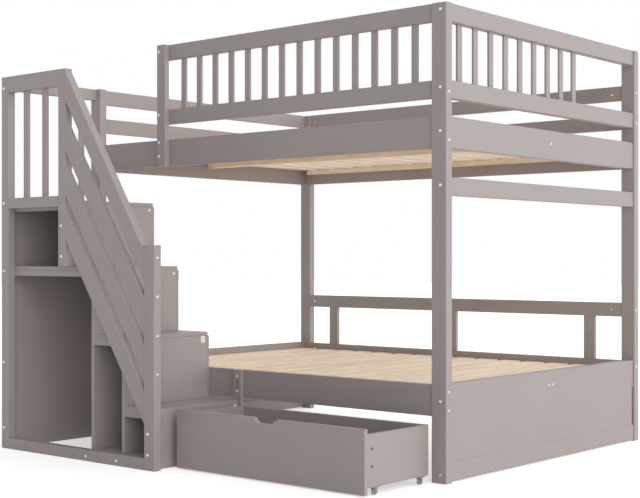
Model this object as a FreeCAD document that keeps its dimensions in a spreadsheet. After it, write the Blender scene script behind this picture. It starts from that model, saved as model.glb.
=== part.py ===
"""Bunk bed with storage stairs: a timber-framed bunk, stairs with cubbies, one rolling drawer.

Every piece is its own solid. All sizes are in millimetres and live in the sheet named Dims;
each piece's size and place is an expression over that sheet. The origin is the middle of the
footprint on the floor: +X to the foot end (right), +Y to the wall side, +Z up.
"""
import FreeCAD, Part
import Sketcher
import os
import re

doc = FreeCAD.newDocument("bunk_bed")
dims = doc.addObject("Spreadsheet::Sheet", "Dims")

DIMENSIONS = [
    ("bed_length", 2004, "outside length over the posts"),
    ("bed_width", 1452, "outside width over the posts"),
    ("bed_height", 1730, "height of the two tall posts"),
    ("stair_depth", 480, "how far the stairs stand out in front of the bed"),
    ("ease", 2, "rounding of the long edges"),
    ("post_wide", 65, "bed post along the length"),
    ("post_deep", 37, "bed post across the bed"),
    ("short_post_high", 1578, "height of the two posts at the stair end"),
    ("rail_thick", 23, "front and back rails"),
    ("rail_inset", 7, "front and back rails behind the post face"),
    ("side_rail_high", 115, "broad side rails"),
    ("upper_rail_base", 1207, "underside of the upper side rails"),
    ("lower_rail_base", 239, "underside of the lower side rails"),
    ("guard_high", 65, "guard rail section height"),
    ("guard_low_base", 1388, "underside of the lower guard rails"),
    ("left_guard_above", 1, "top guard rails at the stair end and back, above the short posts"),
    ("baluster_wide", 29, "guard baluster face"),
    ("baluster_thick", 10, "guard baluster thickness"),
    ("front_baluster_count", 14, "balusters in the front guard"),
    ("front_baluster_start", 69.65, "entry post to the first front baluster"),
    ("front_baluster_gap", 73.9, "last front baluster to the right post"),
    ("end_baluster_count", 9, "balusters in the guard of the right end"),
    ("end_baluster_pitch", 101.75, "spacing of the end balusters"),
    ("end_baluster_gap", 64, "right post to the first end baluster"),
    ("end_rail_thick", 38, "rails of the right end"),
    ("end_rail_inset", 7, "right end rails behind the post face"),
    ("left_rail_thick", 25, "rails of the stair end"),
    ("end_rail_base", 240, "underside of the lower end rails"),
    ("end_rail_high", 118, "lower end rail height"),
    ("brace_gap", 104.5, "brace rail below the upper end rail"),
    ("panel_thick", 16, "board used for end panels, stairs and drawer"),
    ("end_panel_short", 12, "end panel stops this far before the back post"),
    ("baseboard_base", 5, "underside of the end baseboards"),
    ("baseboard_high", 67, "end baseboard height"),
    ("baseboard_inset", 5, "right end baseboard behind the post face"),
    ("entry_post_from", 471, "entry post, from the stair end of the bed"),
    ("entry_post_wide", 52, "entry post along the length"),
    ("entry_post_deep", 24, "entry post thickness"),
    ("leg_from", 929, "front support leg, from the stair end"),
    ("leg_wide", 46, "front support leg along the length"),
    ("leg_deep", 15, "front support leg thickness"),
    ("slot_wide", 8, "slot in the support leg"),
    ("slot_up", 35, "slot in the support leg, above the side rail underside"),
    ("slot_high", 35, "slot in the support leg"),
    ("backrest_base", 549, "underside of the backrest rail"),
    ("backrest_high", 62, "backrest rail height"),
    ("backrest_thick", 22, "backrest rail thickness"),
    ("backrest_inset", 2, "backrest rail behind the inner face of the back posts"),
    ("stile_wide", 56, "backrest stile"),
    ("stile_thick", 18, "backrest stile"),
    ("stile_pitch", 771, "spacing of the backrest stiles"),
    ("ledger_wide", 30, "slat ledger across the bed"),
    ("ledger_high", 24, "slat ledger and centre beam height"),
    ("ledger_drop", 40, "ledger underside below the side rail top"),
    ("beam_wide", 45, "centre beam across the bed"),
    ("slat_count", 15, "slats in each level"),
    ("slat_wide", 89, "slat along the bed"),
    ("slat_thick", 12, "slat thickness"),
    ("slat_from", 28.3, "first slat, from the stair end"),
    ("slat_to", 77.9, "last slat, from the right end"),
    ("slat_gap", 3, "slat end to the post line"),
    ("frame_thick", 35, "stair frame timber across"),
    ("frame_from", 6, "stair frame, from the stair end"),
    ("left_post_wide", 47, "stair frame left post"),
    ("middle_post_from", 397, "stair frame middle post, from the stair end"),
    ("middle_post_wide", 46, "stair frame middle post"),
    ("right_post_from", 928, "stair frame right post, from the stair end"),
    ("right_post_wide", 58, "stair frame right post"),
    ("frame_high", 1582, "stair frame height"),
    ("right_post_high", 860, "stair frame right post height"),
    ("frame_bottom_high", 45, "bottom rail of the stair frame"),
    ("frame_guard_base", 1021, "lower guard rail of the stair frame"),
    ("frame_guard_high", 44, "lower guard rail of the stair frame"),
    ("frame_top_high", 67, "top guard rail of the stair frame"),
    ("frame_baluster_count", 2, "balusters of the stair frame"),
    ("frame_baluster_thick", 11, "balusters of the stair frame"),
    ("side_guard_thick", 32, "landing side rails"),
    ("side_guard_down", 54, "landing side top rail, underside below the frame top"),
    ("side_guard_top_high", 49, "landing side top rail height"),
    ("side_baluster_count", 4, "landing side balusters"),
    ("side_baluster_pitch", 97, "landing side baluster spacing"),
    ("side_baluster_gap", 57, "last landing baluster to the bed post"),
    ("step_rise", 273, "height from one tread to the next"),
    ("first_step", 230, "top of the first tread"),
    ("riser_one", 949, "first riser middle, from the stair end"),
    ("riser_two", 763, "second riser middle, from the stair end"),
    ("riser_three", 575, "third riser middle, from the stair end"),
    ("riser_four", 417, "fourth riser middle, from the stair end"),
    ("side_panel_mid", 22, "stair side panel middle, from the stair end"),
    ("cleat_high", 25, "cleat under each tread"),
    ("cleat_deep", 22, "cleat under each tread"),
    ("cubby_floor_top", 45, "top of the cubby floor boards"),
    ("back_panel_thick", 7, "thin panels behind the cubbies"),
    ("handrail_down", 13, "slanted handrail upper edge below the top of the middle post"),
    ("handrail_low", 24, "slanted handrail upper edge below the top of the right post"),
    ("handrail_high", 118, "handrail plumb height"),
    ("slant_down", 202, "upper slanted board below the handrail at the middle post"),
    ("slant_low", 204, "upper slanted board below the top of the right post"),
    ("slant_high", 121, "slanted board plumb height"),
    ("slant_pitch", 179.5, "plumb spacing of the slanted boards"),
    ("slant_thick", 22, "slanted board thickness"),
    ("drawer_out", 377, "how far the drawer stands out in front of the bed"),
    ("drawer_gap_left", 24, "drawer to the front support leg"),
    ("drawer_gap", 1.5, "drawer to the right post"),
    ("drawer_front_base", 5, "underside of the drawer front"),
    ("drawer_front_high", 226, "drawer front height"),
    ("drawer_deep", 360, "drawer depth with its front"),
    ("drawer_side_base", 29, "underside of the drawer sides"),
    ("drawer_side_high", 183, "drawer side height"),
    ("drawer_floor_base", 35, "underside of the drawer floor"),
    ("drawer_floor_thick", 5, "drawer floor thickness"),
    ("notch_top", 118, "hand notch width at the top"),
    ("notch_bottom", 67, "hand notch width at the bottom"),
    ("notch_deep", 20, "hand notch depth"),
    ("wheel_radius", 12.5, "drawer wheel"),
    ("wheel_wide", 9, "drawer wheel"),
    ("wheel_round", 2, "drawer wheel tread edge"),
    ("wheel_front", 62, "front wheels behind the drawer face"),
    ("wheel_back", 318.5, "rear wheels behind the drawer face"),
    ("pin_radius", 2.5, "wheel pin"),
    ("pin_play", 0.05, "wheel bore over its pin"),
    ("bracket_plate", 3, "wheel bracket plate"),
    ("bracket_cheek", 2.5, "wheel bracket cheek"),
    ("bracket_gap", 0.5, "wheel to cheek"),
    ("bracket_long", 40, "wheel bracket plate length"),
    ("cheek_long", 14, "wheel bracket cheek length"),
    ("cheek_base", 6, "underside of the wheel bracket cheeks"),
    ("shank_radius", 3, "bolt shank"),
    ("head_radius", 6, "bolt head"),
    ("head_high", 2, "bolt head"),
    ("socket_radius", 2.6, "hexagon socket"),
    ("socket_deep", 1.5, "hexagon socket"),
    ("bolt_grip", 31, "bolt length inside the rail"),
    ("back_grip_right", 45, "bolt length inside the back rails, right end"),
    ("back_grip_left", 28, "bolt length inside the back rails, stair end"),
    ("frame_bolt_long", 75, "stair frame bolts"),
    ("nut_radius", 5, "barrel nut"),
    ("nut_blind", 5, "wood left beyond a barrel nut"),
    ("bore_play", 0.25, "bolt and nut bores, over the radius"),
    ("cap_radius", 6.5, "screw cap on a riser"),
    ("end_cap_radius", 5, "screw cap on a rail of the right end"),
    ("cap_high", 1, "screw cap"),
    ("cover_deep", 24, "square cover on the second riser, front to back"),
    ("cover_high", 28, "square cover on the second riser"),
    ("cover_in", 15, "square cover from the rear edge of the second riser"),
    ("cover_low", 1, "square cover below the top of the second riser"),
    ("side_hole_radius", 5.5, "assembly holes in the drawer sides"),
    ("side_hole_back", 40, "assembly holes behind the drawer face"),
    ("side_hole_low", 101, "lower assembly hole"),
    ("side_hole_high", 161, "upper assembly hole"),
    ("guard_bolt_up", 21, "bolt into the lower front guard rail, above its underside"),
    ("back_guard_bolt_up", 25, "bolt into the lower back guard rail, above its underside"),
    ("upper_bolt_up", 29, "bolt into the upper side rail, above its underside"),
    ("lower_bolt_a_up", 90, "upper bolt into the lower side rails, above their underside"),
    ("lower_bolt_b_up", 23, "lower bolt into the lower side rail, above its underside"),
    ("back_top_bolt_up", 29, "bolt into the top back guard rail, above its underside"),
    ("backrest_bolt_up", 30, "bolt into the backrest rail, above its underside"),
    ("end_top_bolt_up", 40, "bolt into the top guard rail of the right end, above its underside"),
    ("end_guard_bolt_up", 37, "bolt into the lower guard rail of the right end, above its underside"),
    ("left_guard_bolt_up", 41, "bolt into the lower guard rail of the stair end, above its underside"),
    ("left_top_bolt_up", 47, "bolt into the top guard rail of the stair end, above its underside"),
    ("end_upper_bolt_up", 61, "bolt into the upper end rails, above their underside"),
    ("brace_bolt_up", 35.5, "bolt into the brace rail, above its underside"),
    ("end_lower_bolt_up", 54, "bolt into the lower end rails, above their underside"),
    ("end_base_bolt_up", 27, "bolt into the end baseboards, above their underside"),
    ("entry_bolt_in", 13, "bolts of the entry post from its edge"),
    ("entry_bolt_a_up", 35, "entry post bolt, above the top guard rail underside"),
    ("entry_bolt_b_up", 39, "entry post bolt, above the lower guard rail underside"),
    ("entry_bolt_c_up", 102, "entry post bolt, above the side rail underside"),
    ("entry_bolt_d_up", 42, "entry post bolt, above the side rail underside"),
    ("leg_bolt_a_up", 88, "support leg bolt, above the side rail underside"),
    ("leg_bolt_b_up", 27, "support leg bolt, above the side rail underside"),
    ("frame_bolt_a_up", 18, "left post bolt, above the top guard rail underside"),
    ("frame_bolt_b_up", 23, "left post bolt, above the lower guard rail underside"),
    ("frame_bolt_c_down", 21, "left post bolt, below the third tread"),
    ("frame_bolt_d", 366, "left post bolt"),
    ("frame_bolt_e", 88, "left post bolt"),
    ("middle_bolt_a_up", 166, "middle post bolt, above the third tread"),
    ("middle_bolt_b_up", 41, "middle post bolt, above the third tread"),
    ("bottom_bolt", 19, "bottom rail bolts"),
    ("right_bolt_a", 139, "right post bolt"),
    ("right_bolt_b", 59, "right post bolt"),
    ("post_screw_a_down", 49, "screw in the side of the right post, below its top"),
    ("post_screw_b", 663, "screw in the side of the right post"),
    ("post_screw_c", 513, "screw in the side of the right post"),
    ("post_screw_d", 366, "screw in the side of the right post"),
    ("post_screw_long", 50, "screws in the side of the right post"),
    ("cap_in", 19, "screw caps from the rear edge of the risers"),
    ("cap_low", 15, "screw caps below the top of the risers"),
    ("first_cap_in", 15, "screw cap from the rear of the first riser"),
    ("first_cap_low", 7, "screw cap below the top of the first riser"),
    ("beam_screw_apart", 29, "screw caps over the end of the lower centre beam"),
    ("side_hole_deep", 12, "assembly holes in the drawer sides"),
]
DERIVED = [
    ("front_baluster_pitch", "(bed_length - post_wide - front_baluster_gap - baluster_wide"
     " - entry_post_from - entry_post_wide - front_baluster_start) / (front_baluster_count - 1)"),
    ("slat_pitch", "(bed_length - slat_from - slat_to - slat_wide) / (slat_count - 1)"),
    ("drawer_wide", "bed_length - post_wide - leg_from - leg_wide - drawer_gap - drawer_gap_left"),
    ("left_guard_top_base", "short_post_high + left_guard_above - guard_high"),
    ("side_guard_top_base", "frame_high - side_guard_down"),
    ("slot_base", "lower_rail_base + slot_up"),
    ("handrail_top", "frame_high - handrail_down"),
    ("handrail_drop", "handrail_top - right_post_high + handrail_low"),
    ("slant_top", "handrail_top - slant_down"),
    ("slant_drop", "slant_top - right_post_high + slant_low"),
    ("bolt_guard", "guard_low_base + guard_bolt_up"),
    ("bolt_upper", "upper_rail_base + upper_bolt_up"),
    ("bolt_lower_a", "lower_rail_base + lower_bolt_a_up"),
    ("bolt_lower_b", "lower_rail_base + lower_bolt_b_up"),
    ("bolt_back_top", "left_guard_top_base + back_top_bolt_up"),
    ("bolt_backrest", "backrest_base + backrest_bolt_up"),
    ("brace_base", "upper_rail_base - brace_gap - guard_high"),
    ("end_bolt_top", "bed_height - guard_high + end_top_bolt_up"),
    ("end_bolt_guard", "guard_low_base + end_guard_bolt_up"),
    ("end_bolt_left", "left_guard_top_base + left_top_bolt_up"),
    ("end_bolt_upper", "upper_rail_base + end_upper_bolt_up"),
    ("end_bolt_brace", "brace_base + brace_bolt_up"),
    ("end_bolt_lower", "end_rail_base + end_lower_bolt_up"),
    ("end_bolt_base", "baseboard_base + end_base_bolt_up"),
    ("entry_bolt_a", "bed_height - guard_high + entry_bolt_a_up"),
    ("entry_bolt_b", "guard_low_base + entry_bolt_b_up"),
    ("entry_bolt_c", "upper_rail_base + entry_bolt_c_up"),
    ("entry_bolt_d", "upper_rail_base + entry_bolt_d_up"),
    ("leg_bolt_a", "lower_rail_base + leg_bolt_a_up"),
    ("leg_bolt_b", "lower_rail_base + leg_bolt_b_up"),
    ("frame_bolt_a", "frame_high - frame_top_high + frame_bolt_a_up"),
    ("frame_bolt_b", "frame_guard_base + frame_bolt_b_up"),
    ("middle_bolt_a", "first_step + 2 * step_rise + middle_bolt_a_up"),
    ("middle_bolt_b", "first_step + 2 * step_rise + middle_bolt_b_up"),
    ("bolt_back_guard", "left_guard_top_base - 2 * guard_high + back_guard_bolt_up"),
    ("end_bolt_left_guard", "left_guard_top_base - 2 * guard_high + left_guard_bolt_up"),
    ("frame_bolt_c", "first_step + 2 * step_rise - frame_bolt_c_down"),
    ("post_screw_a", "right_post_high - post_screw_a_down"),
    ("right_face", "bed_length / 2"),
    ("left_face", "-bed_length / 2"),
    ("front_face", "(stair_depth - bed_width) / 2"),
    ("back_face", "(stair_depth + bed_width) / 2"),
    ("stair_face", "-(stair_depth + bed_width) / 2"),
    ("bay_length", "bed_length - 2 * post_wide"),
    ("bay_width", "bed_width - 2 * post_deep"),
    ("front_rail_face", "front_face + rail_inset"),
    ("back_rail_face", "back_face - rail_inset - rail_thick"),
    ("right_rail_face", "right_face - end_rail_inset - end_rail_thick"),
    ("left_rail_inner", "left_face + left_rail_thick"),
    ("frame_back", "stair_face + frame_thick"),
    ("left_post_inner", "left_face + frame_from + left_post_wide"),
    ("middle_post_left", "left_face + middle_post_from"),
    ("middle_post_right", "left_face + middle_post_from + middle_post_wide"),
    ("right_post_left", "left_face + right_post_from"),
    ("slant_run", "right_post_left - middle_post_right"),
    ("guard_span", "middle_post_left - left_post_inner"),
    ("side_panel_inner", "left_face + side_panel_mid + panel_thick / 2"),
    ("side_guard_inner", "left_face + frame_from + side_guard_thick"),
    ("leg_front", "front_rail_face - leg_deep"),
    ("drawer_face", "front_face - drawer_out"),
    ("drawer_right", "right_face - post_wide - drawer_gap"),
    ("drawer_left", "drawer_right - drawer_wide"),
    ("drawer_end", "drawer_face + drawer_deep"),
]
WORD = re.compile(r"[a-z][a-z0-9_]*")


def over_sheet(text):
    """Point every dimension name in an expression at its cell in the sheet."""
    return WORD.sub(lambda found: "Dims." + found.group(0), str(text))


for row, (alias, value, note) in enumerate(DIMENSIONS, start=1):
    dims.set("A%d" % row, note)
    dims.set("B%d" % row, str(value))
    dims.setAlias("B%d" % row, alias)
for row, (alias, formula) in enumerate(DERIVED, start=len(DIMENSIONS) + 1):
    dims.set("B%d" % row, "=" + formula)
    dims.setAlias("B%d" % row, alias)
doc.recompute()

AXES = {
    "+X": FreeCAD.Vector(1, 0, 0),
    "-X": FreeCAD.Vector(-1, 0, 0),
    "+Y": FreeCAD.Vector(0, 1, 0),
    "-Y": FreeCAD.Vector(0, -1, 0),
    "+Z": FreeCAD.Vector(0, 0, 1),
}
nodes = []
boards = []


def bind(thing, **links):
    """Bind an object's properties to expressions; a dot is written as two underscores."""
    for name, text in links.items():
        thing.setExpression(name.replace("__", "."), over_sheet(text))


def place(thing, at, axis="+Z"):
    """Turn an object's +Z onto an axis and bind its position."""
    turn = FreeCAD.Rotation(AXES["+Z"], AXES[axis])
    thing.Placement = FreeCAD.Placement(FreeCAD.Vector(), turn)
    bind(thing, Placement__Base__x=at[0], Placement__Base__y=at[1], Placement__Base__z=at[2])


def keep(label, thing):
    """Make an object the named node."""
    thing.Label = label
    nodes.append((label, thing))
    return thing


def board(label, at, size, ends=False, eased=True, flush_below=False):
    """One rectangular piece of timber, its long edges eased (and its ends, where they show).

    A board that meets the panel under it in one plane keeps its lower edges square.
    """
    body = doc.addObject("PartDesign::Body", label)
    blank = body.newObject("PartDesign::AdditiveBox", label + "_blank")
    bind(blank, Length=size[0], Width=size[1], Height=size[2])
    place(body, at)
    boards.append({"body": body, "blank": blank, "at": at, "ends": ends, "eased": eased,
                   "flush_below": flush_below})
    return body


def node_board(label, at, size, **how):
    return keep(label, board(label, at, size, **how))


def group(label, members):
    """Several pieces of one kind as one node of separate solids."""
    compound = doc.addObject("Part::Compound", label)
    compound.Links = members
    return keep(label, compound)


# ---------------------------------------------------------------- bed posts
for side, x in (("right", "right_face - post_wide"), ("left", "left_face")):
    high = "bed_height" if side == "right" else "short_post_high"
    for face, y in (("front", "front_face"), ("back", "back_face - post_deep")):
        name = "%s_%s_post" % (face, side)
        node_board(name, (x, y, "0"), ("post_wide", "post_deep", high), ends=True)

INNER_X = "left_face + post_wide"
INNER_Y = "front_face + post_deep"
ENTRY_X = "left_face + entry_post_from"
ENTRY_Y = "front_rail_face - entry_post_deep"
GUARD_TOP = "bed_height - guard_high"

node_board("guard_entry_post", (ENTRY_X, ENTRY_Y, "upper_rail_base"),
           ("entry_post_wide", "entry_post_deep", "bed_height - upper_rail_base"), ends=True)

# ---------------------------------------------------------------- front and back rails
for level, base in (("upper", "upper_rail_base"), ("lower", "lower_rail_base")):
    for face, y in (("front", "front_rail_face"), ("back", "back_rail_face")):
        node_board("%s_%s_side_rail" % (level, face), (INNER_X, y, base),
                   ("bay_length", "rail_thick", "side_rail_high"))

GUARD_LONG = "bed_length - entry_post_from - post_wide"
members = []
for level, base in (("lower", "guard_low_base"), ("top", GUARD_TOP)):
    members.append(board("front_guard_%s_rail" % level, (ENTRY_X, "front_rail_face", base),
                         (GUARD_LONG, "rail_thick", "guard_high"), ends=True))
group("front_guard_rails", members)

BALUSTER_Z = "guard_low_base + guard_high"
BALUSTER_HIGH = GUARD_TOP + " - guard_low_base - guard_high"
members = []
for index in range(int(dims.get("front_baluster_count"))):
    x = ("right_face - post_wide - front_baluster_gap - baluster_wide - %d * front_baluster_pitch"
         % index)
    members.append(board("front_baluster_%02d" % (index + 1),
                         (x, "front_rail_face + (rail_thick - baluster_thick) / 2", BALUSTER_Z),
                         ("baluster_wide", "baluster_thick", BALUSTER_HIGH)))
group("front_guard_balusters", members)

BACK_GUARDS = (("lower", "left_guard_top_base - 2 * guard_high"), ("top", "left_guard_top_base"))
members = []
for level, base in BACK_GUARDS:
    members.append(board("back_guard_%s" % level, (INNER_X, "back_rail_face", base),
                         ("bay_length", "rail_thick", "guard_high")))
group("back_guard_rails", members)

BACKREST_Y = "back_face - post_deep + backrest_inset"
node_board("backrest_rail", (INNER_X, BACKREST_Y, "backrest_base"),
           ("bay_length", "backrest_thick", "backrest_high"))
members = []
for index in (-1, 0, 1):
    members.append(board("backrest_stile_%d" % (index + 2),
                         ("%d * stile_pitch - stile_wide / 2" % index,
                          BACKREST_Y + " + (backrest_thick - stile_thick) / 2",
                          "lower_rail_base + side_rail_high"),
                         ("stile_wide", "stile_thick",
                          "backrest_base - lower_rail_base - side_rail_high")))
group("backrest_stiles", members)

leg = node_board("front_support_leg", ("left_face + leg_from", "leg_front", "0"),
                 ("leg_wide", "leg_deep", "lower_rail_base + side_rail_high"), ends=True)

# ---------------------------------------------------------------- right end
RIGHT_Z = (
    ("upper_right_end_rail", "upper_rail_base", "side_rail_high"),
    ("lower_right_end_rail", "end_rail_base", "end_rail_high"),
    ("right_end_brace_rail", "brace_base", "guard_high"),
)
for name, base, high in RIGHT_Z:
    node_board(name, ("right_rail_face", INNER_Y, base), ("end_rail_thick", "bay_width", high),
               flush_below=base == "end_rail_base")
members = []
for level, base in (("lower", "guard_low_base"), ("top", GUARD_TOP)):
    members.append(board("right_guard_%s_rail" % level, ("right_rail_face", INNER_Y, base),
                         ("end_rail_thick", "bay_width", "guard_high")))
group("right_guard_rails", members)
members = [
    board("right_end_baseboard",
          ("right_face - baseboard_inset - end_rail_thick", INNER_Y, "baseboard_base"),
          ("end_rail_thick", "bay_width", "baseboard_high")),
    board("left_end_baseboard", ("left_face", INNER_Y, "baseboard_base"),
          ("left_rail_thick", "bay_width", "baseboard_high")),
]
group("end_baseboards", members)

members = []
for index in range(int(dims.get("end_baluster_count"))):
    y = INNER_Y + " + end_baluster_gap + %d * end_baluster_pitch" % index
    members.append(board("end_baluster_%d" % (index + 1),
                         ("right_rail_face + (end_rail_thick - baluster_thick) / 2", y, BALUSTER_Z),
                         ("baluster_thick", "baluster_wide", BALUSTER_HIGH)))
group("right_guard_balusters", members)

PANEL_Z = "baseboard_base + baseboard_high"
PANEL_HIGH = "end_rail_base - baseboard_base - baseboard_high"
members = [
    board("right_end_panel", ("right_face - end_rail_inset - panel_thick", INNER_Y, PANEL_Z),
          ("panel_thick", "bay_width - end_panel_short", PANEL_HIGH), eased=False),
    board("left_end_panel", ("left_face", INNER_Y, PANEL_Z),
          ("panel_thick", "bay_width - end_panel_short", PANEL_HIGH), eased=False),
]
group("end_panels", members)

# ---------------------------------------------------------------- stair end of the bed
for name, base, high in (("upper_left_end_rail", "upper_rail_base", "side_rail_high"),
                         ("lower_left_end_rail", "end_rail_base", "end_rail_high")):
    node_board(name, ("left_face", INNER_Y, base), ("left_rail_thick", "bay_width", high),
               flush_below=base == "end_rail_base")
members = []
for level, base in BACK_GUARDS:
    members.append(board("left_guard_%s" % level, ("left_face", INNER_Y, base),
                         ("left_rail_thick", "bay_width", "guard_high")))
group("left_guard_rails", members)

# ---------------------------------------------------------------- slats and what carries them
for level, base in (("upper", "upper_rail_base"), ("lower", "lower_rail_base")):
    carry = base + " + side_rail_high - ledger_drop - ledger_high"
    members = [
        board(level + "_front_ledger", (INNER_X, "front_rail_face + rail_thick", carry),
              ("bay_length", "ledger_wide", "ledger_high")),
        board(level + "_back_ledger", (INNER_X, "back_rail_face - ledger_wide", carry),
              ("bay_length", "ledger_wide", "ledger_high")),
        board(level + "_centre_beam",
              ("left_rail_inner", "(front_face + back_face - beam_wide) / 2", carry),
              ("right_rail_face - left_rail_inner", "beam_wide", "ledger_high")),
    ]
    group(level + "_slat_bearers", members)
    members = []
    for index in range(int(dims.get("slat_count"))):
        members.append(board("%s_slat_%02d" % (level, index + 1),
                             ("left_face + slat_from + %d * slat_pitch" % index,
                              INNER_Y + " + slat_gap", carry + " + ledger_high"),
                             ("slat_wide", "bay_width - 2 * slat_gap", "slat_thick")))
    group(level + "_slats", members)

# ---------------------------------------------------------------- stair frame
node_board("stair_left_post", ("left_face + frame_from", "stair_face", "0"),
           ("left_post_wide", "frame_thick", "frame_high"), ends=True)
STEP_THREE = "first_step + 2 * step_rise"
STEP_FOUR = "first_step + 3 * step_rise"
node_board("stair_middle_post", ("middle_post_left", "stair_face", STEP_THREE),
           ("middle_post_wide", "frame_thick", "frame_high - (%s)" % STEP_THREE), ends=True)
node_board("stair_right_post", ("right_post_left", "stair_face", "0"),
           ("right_post_wide", "frame_thick", "right_post_high"), ends=True)
node_board("stair_bottom_rail", ("left_post_inner", "stair_face", "0"),
           ("right_post_left - left_post_inner", "frame_thick", "frame_bottom_high"))
members = [
    board("stair_guard_lower_rail", ("left_post_inner", "stair_face", "frame_guard_base"),
          ("guard_span", "frame_thick", "frame_guard_high")),
    board("stair_guard_top_rail", ("left_post_inner", "stair_face", "frame_high - frame_top_high"),
          ("guard_span", "frame_thick", "frame_top_high")),
]
group("stair_guard_rails", members)
members = []
for index in range(int(dims.get("frame_baluster_count"))):
    x = ("left_post_inner + %d * (guard_span + baluster_wide) / (frame_baluster_count + 1)"
         " - baluster_wide" % (index + 1))
    members.append(board("stair_baluster_%d" % (index + 1),
                         (x, "stair_face + (frame_thick - frame_baluster_thick) / 2",
                          "frame_guard_base + frame_guard_high"),
                         ("baluster_wide", "frame_baluster_thick",
                          "frame_high - frame_top_high - frame_guard_base - frame_guard_high")))
group("stair_guard_balusters", members)

# landing guard on the outer side, between the stair frame and the bed post
SIDE_X = "left_face + frame_from"
LANDING_LONG = "stair_depth - frame_thick"
members = [
    board("landing_lower_rail", (SIDE_X, "frame_back", "frame_guard_base"),
          ("side_guard_thick", LANDING_LONG, "frame_guard_high")),
    board("landing_top_rail", (SIDE_X, "frame_back", "side_guard_top_base"),
          ("side_guard_thick", LANDING_LONG, "side_guard_top_high")),
]
group("landing_side_rails", members)
members = []
for index in range(int(dims.get("side_baluster_count"))):
    y = "front_face - side_baluster_gap - baluster_wide - %d * side_baluster_pitch" % index
    members.append(board("landing_baluster_%d" % (index + 1),
                         (SIDE_X + " + (side_guard_thick - baluster_thick) / 2", y,
                          "frame_guard_base + frame_guard_high"),
                         ("baluster_thick", "baluster_wide",
                          "side_guard_top_base - frame_guard_base - frame_guard_high")))
group("landing_side_balusters", members)


def worked_out(text):
    """The present value of an expression over the sheet, by way of a spare cell."""
    dims.set("D1", "=" + text)
    dims.recompute()
    return float(dims.get("D1"))


def outlined(label, corners, thick, at):
    """A board cut to an outline that faces the front: corners are (across, up)."""
    body = doc.addObject("PartDesign::Body", label)
    sketch = body.newObject("Sketcher::SketchObject", label + "_outline")
    plane = [item for item in body.Origin.OriginFeatures if item.Role == "XZ_Plane"][0]
    sketch.AttachmentSupport = [(plane, "")]
    sketch.MapMode = "FlatFace"
    drawn = [FreeCAD.Vector(worked_out(across), worked_out(up), 0) for across, up in corners]
    count = len(corners)
    for index in range(count):
        sketch.addGeometry(Part.LineSegment(drawn[index], drawn[(index + 1) % count]), False)
    for index in range(count):
        follow = (index + 1) % count
        sketch.addConstraint(Sketcher.Constraint("Coincident", index, 2, follow, 1))
    for index, (across, up) in enumerate(corners):
        for kind, text, start, axis in (("DistanceX", across, drawn[index].x, -2),
                                        ("DistanceY", up, drawn[index].y, -1)):
            if text == "0":
                sketch.addConstraint(Sketcher.Constraint("PointOnObject", index, 1, axis))
                continue
            number = sketch.addConstraint(Sketcher.Constraint(kind, -1, 1, index, 1, start))
            sketch.setExpression("Constraints[%d]" % number, over_sheet(text))
    pad = body.newObject("PartDesign::Pad", label + "_pad")
    pad.Profile = sketch
    pad.Reversed = True
    bind(pad, Length=thick)
    place(body, at)
    boards.append({"body": body, "blank": pad, "at": at, "ends": False, "eased": True,
                   "flush_below": False})
    return body


def slanted(label, top, drop, high, thick):
    """A slanted board between the middle and right posts, its ends cut plumb."""
    corners = [("0", drop), ("slant_run", "0"), ("slant_run", high),
               ("0", "%s + %s" % (drop, high))]
    return outlined(label, corners, thick,
                    ("middle_post_right", "stair_face", "%s - %s - %s" % (top, drop, high)))


keep("stair_handrail", slanted("stair_handrail", "handrail_top", "handrail_drop", "handrail_high",
                               "frame_thick"))
members = []
for index in range(3):
    members.append(slanted("slanted_board_%d" % (index + 1), "slant_top - %d * slant_pitch" % index,
                           "slant_drop", "slant_high", "slant_thick"))
group("slanted_guard_boards", members)

# ---------------------------------------------------------------- stairs and cubbies
HALF = " - panel_thick / 2"
node_board("stair_side_panel", ("left_face + side_panel_mid" + HALF, "frame_back", "0"),
           ("panel_thick", LANDING_LONG, "frame_guard_base"))
TREAD = [("first", "first_step"), ("second", "first_step + step_rise"), ("third", STEP_THREE),
         ("landing", STEP_FOUR)]
RISERS = (
    ("first_riser", "riser_one", "0", "first_step - panel_thick", "leg_front"),
    ("second_riser", "riser_two", "0", "first_step + step_rise - panel_thick", "front_face"),
    ("third_riser", "riser_three", "0", STEP_THREE + " - panel_thick", "front_face"),
    ("fourth_riser", "riser_four", STEP_THREE, STEP_FOUR + " - panel_thick", "front_face"),
)
members = []
for name, middle, base, top, rear in RISERS:
    members.append(board(name, ("left_face + %s%s" % (middle, HALF), "frame_back", base),
                         ("panel_thick", "%s - frame_back" % rear, "%s - (%s)" % (top, base))))
group("riser_panels", members)
NEAR = "left_face + %s + panel_thick / 2"
TREADS = (
    ("first_tread", NEAR % "riser_two", NEAR % "riser_one", "first_step", "leg_front"),
    ("second_tread", NEAR % "riser_three", NEAR % "riser_two", "first_step + step_rise",
     "front_face"),
    ("third_tread_shelf", "side_panel_inner", NEAR % "riser_three", STEP_THREE, "front_face"),
    ("landing_board", "side_guard_inner", NEAR % "riser_four", STEP_FOUR, "front_face"),
)
members = []
for name, left, right, top, rear in TREADS:
    members.append(board(name, (left, "frame_back", top + " - panel_thick"),
                         ("%s - (%s)" % (right, left), "%s - frame_back" % rear, "panel_thick")))
group("stair_treads", members[:2])
keep("third_tread_shelf", members[2])
keep("landing_board", members[3])
FAR = "left_face + %s - panel_thick / 2"
CLEATS = (
    (NEAR % "riser_two", FAR % "riser_one", "first_step"),
    (NEAR % "riser_three", FAR % "riser_two", "first_step + step_rise"),
    ("side_panel_inner", FAR % "riser_three", STEP_THREE),
    ("side_guard_inner", FAR % "riser_four", STEP_FOUR),
)
members = []
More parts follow.
